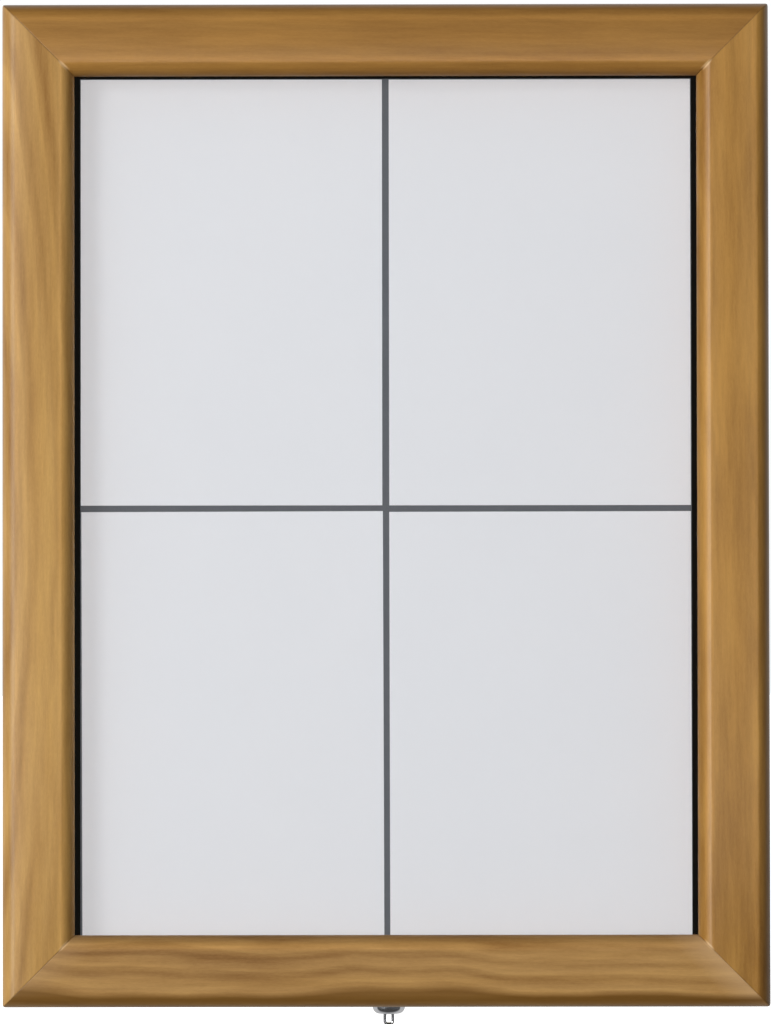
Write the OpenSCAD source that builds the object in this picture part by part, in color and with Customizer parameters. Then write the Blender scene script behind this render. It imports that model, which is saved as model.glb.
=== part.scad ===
// Wall-mounted information display case for four notice sheets.
// A mitred timber door, hinged along the top, closes over a shallow timber case.
// The frame: X to the right, Y into the wall, Z up. The origin is the centre of the
// case's back face, on the wall. A depth is measured from the wall towards the viewer.

/* [Notice sheets] */
// Width of one notice sheet
sheet_w = 210; // [148:1:297]
// Height of one notice sheet
sheet_h = 297; // [210:1:420]
// Thickness of one notice sheet
sheet_t = 0.25; // [0.15:0.05:0.6]
// Gap between the left and the right sheets
sheet_gap_x = 4.7; // [3:0.1:12]
// Gap between the upper and the lower sheets
sheet_gap_z = 4.3; // [3:0.1:12]
// Board left clear between a sheet and the black edging
sheet_play = 0.6; // [0.5:0.1:2]

/* [Window] */
// Window edge to the sheets at the left and the right
side_margin = 2.65; // [1:0.05:8]
// How far the sheets run up behind the top moulding
top_tuck = 0.7; // [0:0.1:5]
// How far the sheets run down behind the bottom moulding
bottom_tuck = 4.6; // [0:0.1:8]

/* [Door moulding] */
// Width of the moulding seen from the front
face_w = 49.5; // [47:0.5:70]
// Thickness of the door, front to back
door_t = 24; // [23.5:0.5:34]
// Radius of the outer edge
outer_round = 12; // [6:0.5:14]
// Radius of the edge beside the window
inner_round = 12; // [6:0.5:12]
// Slope of the two rounded edges, in degrees, where they meet the crown in a soft ridge
ridge_slope = 17; // [10:1:24]
// Height of the gentle crown between the two ridges
crown = 1; // [0.2:0.1:1.3]
// Width of the rebate that holds the pane
rebate_w = 10; // [8:0.5:12]
// Depth of the rebate, from the back of the door
rebate_d = 10; // [9:0.5:10.5]
// Rounding of the door's four corners, seen from the front
corner_round = 3; // [0.5:0.5:6]

/* [Pane] */
// Thickness of the clear pane
pane_t = 3; // [2:0.5:4]
// How far the pane reaches behind the window edge
pane_cover = 7; // [5:0.5:7.5]
// Thickness of the glazing tape in front of the pane
tape_t = 1; // [0.5:0.1:1.5]
// Setback of the glazing beads from the window edge
bead_setback = 2; // [1:0.5:3]

/* [Case] */
// Depth of the timber case
case_d = 30; // [29:0.5:45]
// Thickness of the case rails
rail_t = 16; // [14:0.5:18]
// How far the case stands in from the door at the sides and the bottom
case_inset = 2; // [0:0.5:4]
// How far the case stands below the door's top edge, which leaves room for the hinge
top_inset = 6; // [5.5:0.5:9]
// Thickness of the back panel
back_t = 4; // [3:0.5:4.5]
// Width of the ledge that the back panel sits on
ledge_w = 8; // [7:0.5:9]
// Thickness of the board's core
core_t = 5; // [3:0.5:6]
// Thickness of the board's steel face
steel_t = 1; // [0.6:0.1:1.5]
// Width of the black edging round the board
edging_w = 12; // [10:0.5:12]
// Thickness of the black edging
edging_t = 1.6; // [1:0.1:2.5]
// Thickness of the pressed weather seal, which is the gap from the case to the door
seal_t = 1.5; // [1.3:0.1:2.5]

/* [Hinge] */
// Outer radius of the knuckles
knuckle_r = 2.5; // [2:0.1:2.6]
// Radius of the hinge pin
pin_r = 1; // [0.8:0.1:1.2]
// Thickness of the leaves
leaf_t = 1; // [0.8:0.1:1]
// Width of each leaf, from the pin's axis
leaf_w = 12; // [10:0.5:12]
// Number of knuckles, shared between the two leaves
knuckle_n = 15; // [9:2:25]
// Distance from each end of the hinge to the case's side
hinge_end = 22; // [15:1:60]

/* [Wall fixings] */
// Radius of the four fixing holes
fixing_r = 3; // [2:0.25:4]
// Distance between the upper and the lower fixing holes
fixing_pitch_z = 500; // [300:10:540]

/* [Lock] */
// Distance of the lock to the right of the middle
lock_x = 1.5; // [-10:0.5:10]
// Distance from the wall to the lock's axis
lock_depth = 16; // [15.8:0.1:16.2]
// Radius of the lock's head where it meets the case
head_r = 11.25; // [10.5:0.25:11.5]
// Radius of the lock's outer face
face_r = 8; // [7.5:0.25:9]
// Height of the lock's head below the case
head_h = 8.5; // [8:0.5:10]
// Radius of the threaded barrel
barrel_r = 8; // [7.5:0.25:8.25]
// Length of the barrel above the head
barrel_len = 22; // [21.5:0.1:22.2]
// Radius of the turning plug
plug_r = 5.5; // [5:0.25:6]
// Width of the barrel nut across its flats
nut_af = 19; // [18:0.25:19.5]
// Thickness of the barrel nut
nut_t = 4; // [3:0.5:5]
// Reach of the cam from the lock's axis to the far face of its hook
cam_reach = 13.7; // [13.6:0.05:13.9]
// Thickness of the cam, and of its turned-up hook
cam_t = 1.5; // [1.2:0.1:1.6]
// Width of the cam's arm and hook
cam_w = 8; // [6:0.5:8]
// Height of the cam's hook
hook_h = 6; // [5:0.5:6.5]

/* [Key] */
// Width of the key's wire bow
bow_w = 7.6; // [7:0.1:9]
// How far the bow reaches below the lock
bow_len = 8.4; // [6:0.1:12]
// Radius of the bow's two bends, at the wire's middle
bow_bend = 1.9; // [1.4:0.1:2.6]
// Diameter of the bow's wire
wire_d = 2.1; // [1.6:0.1:2.2]
// Length of the key's blade
blade_len = 16.5; // [12:0.5:17]
// Width of the key's blade
blade_w = 6.6; // [5:0.1:6.8]
// Thickness of the key's blade
blade_t = 2; // [1.4:0.1:2]

/* [Hidden] */
$fn = 48;

// The four sides of a frame, in turn
BOTTOM = 0;
RIGHT = 1;
TOP = 2;
LEFT = 3;
SIDES = [BOTTOM, RIGHT, TOP, LEFT];

// Small amounts: a cut runs past a face by over, shapes of one solid overlap by weld,
// a hole is free wider than what passes through it, and what turns in it has run_fit
over = 1;
weld = 0.01;
free = 0.3;
run_fit = 0.05;

// Colours, as the timber, metal and plastic look
timber_colour = [0.69, 0.51, 0.29];
bead_colour = [0.62, 0.44, 0.24];
ply_colour = [0.76, 0.62, 0.42];
black_colour = [0.06, 0.06, 0.06];
board_colour = [0.36, 0.37, 0.39];
paper_colour = [0.92, 0.93, 0.95];
steel_colour = [0.72, 0.72, 0.74];
chrome_colour = [0.82, 0.82, 0.84];
brass_colour = [0.78, 0.64, 0.32];
clear_colour = [0.80, 0.90, 0.95, 0.35];

// The window and the door
sheets_w = 2 * sheet_w + sheet_gap_x;
sheets_h = 2 * sheet_h + sheet_gap_z;
window_w = sheets_w + 2 * side_margin;
window_h = sheets_h - top_tuck - bottom_tuck;
door_w = window_w + 2 * face_w;
door_h = window_h + 2 * face_w;
sheets_z = (top_tuck - bottom_tuck) / 2;

// Depths, from the wall to the front
core_front = back_t + core_t;
board_front = core_front + steel_t;
door_back = case_d + seal_t;
door_front = door_back + door_t;
rebate_floor = door_back + rebate_d;
pane_front = rebate_floor - tape_t;
pane_back = pane_front - pane_t;
tape_w = pane_cover - 1;

// The case behind the door
case_w = door_w - 2 * case_inset;
case_top = door_h / 2 - top_inset;
case_bottom = -door_h / 2 + case_inset;
case_h = case_top - case_bottom;
case_z = (case_top + case_bottom) / 2;
inner_w = case_w - 2 * rail_t;
inner_h = case_h - 2 * rail_t;
case_edge_round = 1.5;
ledge_play = 0.3;
panel_w = case_w - 2 * (rail_t - ledge_w) - 2 * ledge_play;
panel_h = case_h - 2 * (rail_t - ledge_w) - 2 * ledge_play;

// The board and its edging
edging_in_w = sheets_w + 2 * sheet_play;
edging_in_h = sheets_h + 2 * sheet_play;
board_w = edging_in_w + 2 * edging_w;
board_h = edging_in_h + 2 * edging_w;

// How each sheet lies on the board: column, row, shift right, shift up, clockwise tilt
sheet_lies = [
    [-1, 1, -0.1, 0.1, 0.02],
    [1, 1, 0, 0, 0],
    [-1, -1, 0.5, 0.1, -0.12],
    [1, -1, 0.1, -0.1, -0.06]
];

// The hinge
hinge_depth = door_back - knuckle_r - free;
hinge_z = case_top + knuckle_r + free;
hinge_len = case_w - 2 * hinge_end;
knuckle_len = hinge_len / knuckle_n;
knuckle_gap = 0.4;

// The weather seal fills the case's front edge from the hinge's leaf inwards
seal_in = 0.5;
seal_play = 0.1;
seal_u = leaf_w - knuckle_r;
seal_w = rail_t - seal_in - seal_u;

// The wall fixings, in the clear channel between the board and the case's sides
fixing_x = floor((inner_w + board_w) / 4);

// Screw sizes: diameter of the head, diameter of the shank, length. Each has a cross slot.
panel_screw = [6.5, 3.5, 18];
board_screw = [5.5, 3, 7];
plate_screw = [6, 3, 14];
leaf_screw = [5, 2.5, 12];
iron_screw = [5, 2.5, 11];
slot_w = 0.7;
slot_d = 0.8;
pin_head_d = 2.8;
pin_head_t = 0.6;
pin_d = 1.6;
pin_len = 17;
pin_depth = 0.55 * (pane_back - door_back);

// The first screw or pin of a row, from the corner
panel_screw_end = 40;
bead_pin_end = 60;

// The board's screws lie in from the edges by this share of a sheet
board_screw_share = 0.2;

// The corner plates lie on the back of the door, between the case and the rebate
plate_arm = 58;
plate_t = 1.2;
plate_gap = 2;
plate_in = top_inset + rail_t + plate_gap;
plate_w = face_w - rebate_w - plate_gap - plate_in;

// The irons inside the case's corners
iron_arm = 26;
iron_t = 2;
iron_w = 12;
iron_depth = 20;
iron_hole = 18;

// The keeper on the back of the door, which the cam's hook holds
keeper_t = 1.5;
keeper_half = 20;
keeper_play = 1;
ear_drop = 11;
ear_rise = 3.8;
slot_half = 7;
lip_half = 4.8;
lip_gap = 1.3;
cam_play = 0.5;
cam_z = case_bottom + barrel_len + cam_play;
cam_top = cam_z + cam_t;
hook_top = cam_top + hook_h;
arm_z = hook_top + keeper_play;
keeper_top = arm_z + keeper_t + ear_rise;
lip_front = lock_depth + cam_reach - cam_t - lip_gap;
lip_back = lip_front - keeper_t;
hub_r = 7.5;
tail = 6.4;
tail_play = 0.05;
cam_screw_r = 1.6;
cam_screw_len = 7;

// An arc as points, from one angle to another about a centre
function arc(centre, r, from, to, steps) =
    [for (i = [0 : steps])
        let (a = from + (to - from) * i / steps)
            centre + r * [cos(a), sin(a)]];

// The door moulding's section as [distance in from the outer edge, height above the back].
// The crown is one long, low arc between the two ridges.
arc_steps = 10;
crown_steps = 8;
back_break = 1;
lip_break = 0.6;
ridge_height = door_t - crown;
ridge_out = outer_round * (1 - sin(ridge_slope));
ridge_in = face_w - inner_round * (1 - sin(ridge_slope));
crown_slope = 2 * atan(2 * crown / (ridge_in - ridge_out));
crown_turn = 2 * crown_slope / crown_steps;
crown_r = (ridge_in - ridge_out) / (2 * sin(crown_slope));
crown_centre = [(ridge_out + ridge_in) / 2, door_t - crown_r];
outer_centre = [outer_round, ridge_height - outer_round * cos(ridge_slope)];
inner_centre = [face_w - inner_round, ridge_height - inner_round * cos(ridge_slope)];
door_section = concat(
    [[back_break, 0], [0, back_break]],
    arc(outer_centre, outer_round, 180, 90 + ridge_slope, arc_steps),
    arc(crown_centre, crown_r, 90 + crown_slope - crown_turn, 90 - crown_slope + crown_turn,
        crown_steps - 2),
    arc(inner_centre, inner_round, 90 - ridge_slope, 0, arc_steps),
    [
        [face_w, rebate_d + lip_break],
        [face_w - lip_break, rebate_d],
        [face_w - rebate_w, rebate_d],
        [face_w - rebate_w, 0]
    ]
);

// The case rail's section as [distance in from the outer edge, depth]
case_section = concat(
    [[0, 0]],
    arc([case_edge_round, case_d - case_edge_round], case_edge_round, 180, 90, 5),
    [[rail_t, case_d], [rail_t, back_t], [rail_t - ledge_w, back_t], [rail_t - ledge_w, 0]]
);

// The glazing bead's section as [distance in from the rebate's wall, height above the back]
bead_w = rebate_w - bead_setback;
bead_t = pane_back - door_back;
bead_round = 2;
bead_section = concat(
    [[0, 0], [0, bead_t], [bead_w, bead_t]],
    arc([bead_w - bead_round, bead_round], bead_round, 0, -90, 6)
);

// A plain strip's section, from one depth to another
function strip_section(from_u, to_u, from_d, to_d) =
    [[from_u, from_d], [to_u, from_d], [to_u, to_d], [from_u, to_d]];

// Puts children, made along X with their outer edge on Z = 0, on one side of a w by h frame
module on_side(side, w, h, z = 0) {
    turns = [0, -90, 180, 90];
    places = [[0, 0, -h / 2], [w / 2, 0, 0], [0, 0, h / 2], [-w / 2, 0, 0]];
    translate([0, 0, z]) translate(places[side]) rotate([0, turns[side], 0]) children();
}

function side_len(side, w, h) = side % 2 == 0 ? w : h;

// A bar with mitred ends, len long at its outer edge, from a section in distance and depth.
// The frame's corner, which two bars share, is rounded by corner_r.
module mitred_bar(len, width, section, lift = 0, corner_r = 0) {
    deep = lift + max([for (p = section) p[1]]) + over;
    half_corner = corner_r == 0 ? [[len / 2, 0]]
        : arc([len / 2 - corner_r, corner_r], corner_r, -90, -45, 4);
    intersection() {
        rotate([90, 0, 90])
            linear_extrude(height = len + 2 * over, center = true)
                polygon([for (p = section) [-(p[1] + lift), p[0]]]);
        translate([0, over, 0])
            rotate([90, 0, 0])
                linear_extrude(height = deep + over)
                    polygon(concat(
                        half_corner,
                        [[len / 2 - width, width], [-len / 2 + width, width]],
                        [for (i = [len(half_corner) - 1 : -1 : 0])
                            [-half_corner[i][0], half_corner[i][1]]]
                    ));
    }
}

// A block between two depths, given by its centre in X and Z
module slab(w, h, from_d, to_d, x = 0, z = 0) {
    translate([x - w / 2, -to_d, z - h / 2]) cube([w, to_d - from_d, h]);
}

// Turns children that point along +Z so that they point at the wall, at a depth
module from_back(x, depth, z) {
    translate([x, -depth, z]) rotate([-90, 0, 0]) children();
}

// A countersunk screw, its head's face on Z = 0 and its shank below
module screw_body(size) {
    cone = (size[0] - size[1]) / 2;
    translate([0, 0, -cone]) cylinder(h = cone, d1 = size[1], d2 = size[0]);
    translate([0, 0, -size[2]]) cylinder(h = size[2] - cone + weld, d = size[1]);
}

module screw(size) {
    slot_len = size[0] * 0.6;
    difference() {
        screw_body(size);
        for (turn = [0, 90])
            rotate([0, 0, turn])
                translate([-slot_len / 2, -slot_w / 2, -slot_d])
                    cube([slot_len, slot_w, over + slot_d]);
    }
}

// A panel pin, its head's face on Z = 0
module pin() {
    translate([0, 0, -pin_head_t]) cylinder(h = pin_head_t, d = pin_head_d);
    translate([0, 0, -pin_len]) cylinder(h = pin_len - pin_head_t / 2, d = pin_d);
}

// Even places along a length, kept in from each end
function places_along(len, count, keep_in) =
    [for (i = [0 : count - 1]) -len / 2 + keep_in + (len - 2 * keep_in) * i / (count - 1)];

// Where the back panel's screws go, on the ledge of each case rail
module at_panel_screws(side) {
    for (x = places_along(side_len(side, case_w, case_h), 4, panel_screw_end))
        on_side(side, case_w, case_h, case_z) from_back(x, 0, rail_t - ledge_w / 2) children();
}

module at_board_screws() {
    for (x = [-1, 0, 1])
        for (z = [-1, 1])
            from_back(
                x * sheet_w * (1 - board_screw_share),
                0,
                sheets_z + z * sheet_h * (1 - board_screw_share)
            ) children();
}

module at_wall_fixings() {
    for (x = [-1, 1])
        for (z = [-1, 1])
            from_back(x * fixing_x, 0, z * fixing_pitch_z / 2) children();
}

// One corner of the w by h frame, looking in: corner 0 is bottom left, then anticlockwise
module on_corner(corner, w, h, z = 0) {
    signs = [[-1, -1], [1, -1], [1, 1], [-1, 1]];
    turns = [0, -90, 180, 90];
    translate([signs[corner][0] * w / 2, 0, z + signs[corner][1] * h / 2])
        rotate([0, turns[corner], 0]) children();
}

module at_iron_screws() {
    for (corner = [0 : 3])
        on_corner(corner, inner_w, inner_h, case_z) {
            translate([iron_hole, -iron_depth, iron_t]) children();
            translate([iron_t, -iron_depth, iron_hole]) rotate([0, 90, 0]) children();
        }
}

module at_plate_screws() {
    near = plate_w * 1.7;
    far = plate_arm - plate_w / 2;
    mid = plate_in + plate_w / 2;
    for (corner = [0 : 3])
        on_corner(corner, door_w, door_h)
            for (along = [near, far]) {
                from_back(plate_in + along, door_back - plate_t, mid) children();
                from_back(mid, door_back - plate_t, plate_in + along) children();
            }
}

// The leaves' screws lie in a row, at this distance from the hinge's axis
leaf_screw_row = leaf_w - 4.5;
leaf_places = places_along(hinge_len, (knuckle_n + 1) / 2, knuckle_len / 2);

module at_case_leaf_screws() {
    for (x = leaf_places)
        translate([x, -(hinge_depth - leaf_screw_row), case_top + leaf_t]) children();
}

module at_door_leaf_screws() {
    for (x = leaf_places)
        from_back(x, door_back - leaf_t, hinge_z - leaf_screw_row) children();
}

module at_keeper_screws() {
    for (side = [-1, 1])
        from_back(
            lock_x + side * (slot_half + keeper_half) / 2,
            door_back - keeper_t,
            keeper_top - ear_drop / 2
        ) children();
}

module at_bead_pins(side) {
    w = door_w - 2 * (face_w - rebate_w);
    h = door_h - 2 * (face_w - rebate_w);
    len = side_len(side, w, h);
    for (x = places_along(len, side % 2 == 0 ? 3 : 4, bead_pin_end))
        on_side(side, w, h) translate([x, -(door_back + pin_depth), bead_w]) children();
}

// The timber case: four mitred rails, rebated at the back for the panel
module case_rail(side) {
    color(timber_colour)
        difference() {
            on_side(side, case_w, case_h, case_z)
                mitred_bar(side_len(side, case_w, case_h), rail_t, case_section);
            at_panel_screws(side) screw_body(panel_screw);
            at_iron_screws() screw_body(iron_screw);
            if (side == TOP) at_case_leaf_screws() screw_body(leaf_screw);
            if (side == BOTTOM)
                translate([lock_x, -lock_depth, case_bottom - over])
                    cylinder(h = rail_t + 2 * over, r = barrel_r + free / 2);
        }
}

// The plywood panel that closes the back, drilled for the wall fixings
module back_panel() {
    color(ply_colour)
        difference() {
            slab(panel_w, panel_h, 0, back_t, 0, case_z);
            for (side = SIDES) at_panel_screws(side) screw_body(panel_screw);
            at_board_screws() screw_body(board_screw);
            at_wall_fixings()
                translate([0, 0, -back_t - over])
                    cylinder(h = back_t + 2 * over, r = fixing_r);
        }
}

module back_panel_screws() {
    color(steel_colour) for (side = SIDES) at_panel_screws(side) screw(panel_screw);
}

// The board: a fibreboard core with a grey-coated steel face that takes magnets
module board_core() {
    color(ply_colour)
        difference() {
            slab(board_w, board_h, back_t, core_front, 0, sheets_z);
            at_board_screws() screw_body(board_screw);
        }
}

module display_board() {
    color(board_colour) slab(board_w, board_h, core_front, board_front, 0, sheets_z);
}

module board_screws() {
    color(steel_colour) at_board_screws() screw(board_screw);
}

// Black edging on the face of the board, round the sheets
module board_edging(side) {
    color(black_colour)
        on_side(side, board_w, board_h, sheets_z)
            mitred_bar(
                side_len(side, board_w, board_h),
                edging_w,
                strip_section(0, edging_w, board_front, board_front + edging_t)
            );
}

// A blank notice sheet, flat on the board
module notice_sheet(i) {
    lie = sheet_lies[i];
    x = lie[0] * (sheet_w + sheet_gap_x) / 2 + lie[2];
    z = sheets_z + lie[1] * (sheet_h + sheet_gap_z) / 2 + lie[3];
    color(paper_colour)
        translate([x, 0, z])
            rotate([0, lie[4], 0])
                slab(sheet_w, sheet_h, board_front, board_front + sheet_t);
}

// Soft black seal on the case's front edge, pressed by the closed door
module weather_seal(side) {
    w = case_w - 2 * seal_u;
    h = case_h - 2 * seal_u;
    color(black_colour)
        on_side(side, w, h, case_z)
            mitred_bar(
                side_len(side, w, h),
                seal_w,
                strip_section(0, seal_w, case_d, door_back - seal_play)
            );
}

// Angle irons that hold the case's mitres from inside
module corner_irons() {
    color(steel_colour)
        difference() {
            for (corner = [0 : 3])
                on_corner(corner, inner_w, inner_h, case_z)
                    translate([0, -iron_depth + iron_w / 2, 0])
                        rotate([90, 0, 0])
                            linear_extrude(height = iron_w)
                                polygon([
                                    [0, 0], [iron_arm, 0], [iron_arm, iron_t],
                                    [iron_t, iron_t], [iron_t, iron_arm], [0, iron_arm]
                                ]);
            at_iron_screws() screw_body(iron_screw);
        }
}

module corner_iron_screws() {
    color(steel_colour) at_iron_screws() screw(iron_screw);
}

// One set of knuckles, every second place along the hinge
module knuckle_row(parity, r, shorter) {
    for (i = [0 : knuckle_n - 1])
        if (i % 2 == parity)
            translate([-hinge_len / 2 + i * knuckle_len + shorter / 2, -hinge_depth, hinge_z])
                rotate([0, 90, 0]) cylinder(h = knuckle_len - shorter, r = r);
}

module hinge_bore() {
    translate([-hinge_len / 2 - over, -hinge_depth, hinge_z])
        rotate([0, 90, 0]) cylinder(h = hinge_len + 2 * over, r = pin_r + run_fit);
}

// The fixed leaf lies on top of the case and has the end knuckles
module case_hinge_leaf() {
    color(brass_colour)
        difference() {
            union() {
                translate([-hinge_len / 2, -hinge_depth, case_top])
                    cube([hinge_len, leaf_w, leaf_t]);
                knuckle_row(0, knuckle_r, knuckle_gap);
            }
            knuckle_row(1, knuckle_r + free, -knuckle_gap);
            hinge_bore();
            at_case_leaf_screws() screw_body(leaf_screw);
        }
}

// The moving leaf lies on the back of the door's top rail
module door_hinge_leaf() {
    color(brass_colour)
        difference() {
            union() {
                translate([-hinge_len / 2, -door_back, hinge_z - leaf_w])
                    cube([hinge_len, leaf_t, leaf_w]);
                knuckle_row(1, knuckle_r, knuckle_gap);
            }
            knuckle_row(0, knuckle_r + free, -knuckle_gap);
            hinge_bore();
            at_door_leaf_screws() screw_body(leaf_screw);
        }
}

module hinge_pin() {
    color(steel_colour)
        translate([-hinge_len / 2, -hinge_depth, hinge_z])
            rotate([0, 90, 0]) cylinder(h = hinge_len, r = pin_r);
}

module case_leaf_screws() {
    color(brass_colour) at_case_leaf_screws() screw(leaf_screw);
}

module door_leaf_screws() {
    color(brass_colour) at_door_leaf_screws() screw(leaf_screw);
}

// Puts children on the lock's axis, with Z = 0 on the underside of the case
module at_lock() {
    translate([lock_x, -lock_depth, case_bottom]) children();
}

plug_head_r = plug_r + 1;
plug_head_t = 2;
plug_set_in = 0.3;

// The lock's fixed body: a domed head under the case and a barrel through the rail.
// The head is straight at first, then an arc draws it in to the flat face.
module lock_housing() {
    head_flat = 4;
    rise = head_h - head_flat;
    sweep = 2 * atan((head_r - face_r) / rise);
    dome_r = rise / sin(sweep);
    color(chrome_colour)
        at_lock()
            rotate_extrude()
                polygon(concat(
                    [
                        [plug_r + run_fit, barrel_len],
                        [barrel_r, barrel_len],
                        [barrel_r, 0],
                        [head_r, 0]
                    ],
                    arc([head_r - dome_r, -head_flat], dome_r, 0, -sweep, 6),
                    [
                        [plug_head_r + run_fit, -head_h],
                        [plug_head_r + run_fit, -head_h + plug_head_t],
                        [plug_r + run_fit, -head_h + plug_head_t]
                    ]
                ));
}

module lock_nut() {
    color(steel_colour)
        at_lock()
            translate([0, 0, rail_t])
                difference() {
                    cylinder(h = nut_t, d = nut_af / cos(30), $fn = 6);
                    translate([0, 0, -over]) cylinder(h = nut_t + 2 * over, r = barrel_r);
                }
}

plug_top = cam_z - case_bottom;
blade_play = 0.1;

// The turning plug, with the keyway below and a square tail above for the cam.
// The tail is tail_play shorter than the cam is thick, so the screw clamps the cam.
module lock_plug() {
    tail_h = cam_t - tail_play;
    keyway_spare = 1;
    screw_hole = cam_screw_len + 1;
    color(brass_colour)
        at_lock()
            difference() {
                union() {
                    translate([0, 0, -head_h + plug_set_in])
                        cylinder(h = plug_head_t - plug_set_in - run_fit, r = plug_head_r);
                    translate([0, 0, -head_h + plug_set_in])
                        cylinder(h = plug_top + head_h - plug_set_in, r = plug_r);
                    translate([-tail / 2, -tail / 2, plug_top - weld])
                        cube([tail, tail, tail_h + weld]);
                }
                translate([-blade_w / 2 - blade_play, -blade_t / 2 - blade_play, -head_h - over])
                    cube([
                        blade_w + 2 * blade_play,
                        blade_t + 2 * blade_play,
                        blade_len + plug_set_in + over + keyway_spare
                    ]);
                translate([0, 0, plug_top + cam_t - screw_hole])
                    cylinder(h = screw_hole + over, r = cam_screw_r);
            }
}

// The cam turns with the plug, and its turned-up hook passes in front of the keeper's lip
module lock_cam() {
    color(steel_colour)
        at_lock()
            translate([0, 0, plug_top])
                difference() {
                    union() {
                        cylinder(h = cam_t, r = hub_r);
                        translate([0, -cam_w / 2, 0]) cube([cam_reach, cam_w, cam_t]);
                        translate([cam_reach - cam_t, -cam_w / 2, 0])
                            cube([cam_t, cam_w, cam_t + hook_h]);
                    }
                    translate([-tail / 2 - tail_play, -tail / 2 - tail_play, -over])
                        cube([tail + 2 * tail_play, tail + 2 * tail_play, cam_t + 2 * over]);
                }
}

module cam_screw() {
    screw_head_r = 4.6;
    screw_head_t = 2;
    slot = 1;
    color(steel_colour)
        at_lock()
            translate([0, 0, plug_top + cam_t])
                difference() {
                    union() {
                        cylinder(h = screw_head_t, r = screw_head_r);
                        translate([0, 0, -cam_screw_len])
                            cylinder(h = cam_screw_len + weld, r = cam_screw_r);
                    }
                    translate([-screw_head_r - over, -slot / 2, screw_head_t - slot])
                        cube([2 * (screw_head_r + over), slot, slot + over]);
                }
}

// The key: a flat blade in the plug and a small bow of bent wire below it
module key() {
    wire_r = wire_d / 2;
    limb_x = bow_w / 2 - wire_r;
    face_z = -head_h + plug_set_in - run_fit;
    base_z = -head_h - bow_len + wire_r;
    bend_z = base_z + bow_bend;
    base_half = limb_x - bow_bend;
    shoulder_h = 1;
    limb_in = shoulder_h / 2;
    color(chrome_colour)
        at_lock() {
            translate([-blade_w / 2, -blade_t / 2, face_z]) cube([blade_w, blade_t, blade_len]);
            translate([-bow_w / 2, -wire_r, face_z - shoulder_h]) cube([bow_w, wire_d, shoulder_h]);
            for (turn = [0, 180])
                rotate([0, 0, turn]) {
                    translate([limb_x, 0, bend_z])
                        cylinder(h = face_z - limb_in - bend_z, r = wire_r, $fn = 24);
                    translate([base_half, 0, bend_z])
                        rotate([-90, 0, 0])
                            rotate_extrude(angle = 90)
                                translate([bow_bend, 0]) circle(r = wire_r, $fn = 24);
                }
            translate([-base_half, 0, base_z])
                rotate([0, 90, 0]) cylinder(h = 2 * base_half, r = wire_r, $fn = 24);
        }
}

// The door: four mitred mouldings with a rebate for the pane
module door_bar(side) {
    color(timber_colour)
        difference() {
            on_side(side, door_w, door_h)
                mitred_bar(
                    side_len(side, door_w, door_h), face_w, door_section, door_back, corner_round
                );
            at_plate_screws() screw_body(plate_screw);
            at_bead_pins(side) pin();
            if (side == TOP) at_door_leaf_screws() screw_body(leaf_screw);
            if (side == BOTTOM) at_keeper_screws() screw_body(plate_screw);
        }
}

module glazing_pane() {
    color(clear_colour)
        slab(window_w + 2 * pane_cover, window_h + 2 * pane_cover, pane_back, pane_front);
}

// A strip of glazing tape between the pane and a moulding
module glazing_tape(side) {
    w = window_w + 2 * pane_cover;
    h = window_h + 2 * pane_cover;
    color(black_colour)
        on_side(side, w, h)
            mitred_bar(
                side_len(side, w, h),
                tape_w,
                strip_section(0, tape_w, pane_front, rebate_floor)
            );
}

module glazing_bead(side) {
    w = door_w - 2 * (face_w - rebate_w);
    h = door_h - 2 * (face_w - rebate_w);
    color(bead_colour)
        difference() {
            on_side(side, w, h)
                mitred_bar(side_len(side, w, h), bead_w, bead_section, door_back);
            at_bead_pins(side) pin();
        }
}

module bead_pins() {
    color(brass_colour) for (side = SIDES) at_bead_pins(side) pin();
}

// Flat L-shaped plates that hold the door's mitres from behind
module corner_plate(corner) {
    color(steel_colour)
        difference() {
            on_corner(corner, door_w, door_h)
                translate([plate_in, -door_back + plate_t, plate_in])
                    rotate([90, 0, 0])
                        linear_extrude(height = plate_t)
                            polygon([
                                [0, 0], [plate_arm, 0], [plate_arm, plate_w],
                                [plate_w, plate_w], [plate_w, plate_arm], [0, plate_arm]
                            ]);
            at_plate_screws() screw_body(plate_screw);
        }
}

module corner_plate_screws() {
    color(steel_colour) at_plate_screws() screw(plate_screw);
}

// The keeper: a slotted plate on the door with an arm back and a lip down behind the cam's hook
module lock_keeper() {
    lip_h = arm_z + keeper_t - cam_top - 2 * free;
    color(steel_colour)
        difference() {
            union() {
                slab(
                    2 * keeper_half, ear_drop, door_back - keeper_t, door_back,
                    lock_x, keeper_top - ear_drop / 2
                );
                slab(2 * lip_half, keeper_t, lip_back, door_back, lock_x, arm_z + keeper_t / 2);
                slab(
                    2 * lip_half, lip_h, lip_back, lip_front,
                    lock_x, arm_z + keeper_t - lip_h / 2
                );
            }
            slab(
                2 * slot_half, ear_drop, door_back - keeper_t - over, door_back + over,
                lock_x, arm_z - ear_drop / 2
            );
            at_keeper_screws() screw_body(plate_screw);
        }
}

module keeper_screws() {
    color(steel_colour) at_keeper_screws() screw(plate_screw);
}

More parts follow.
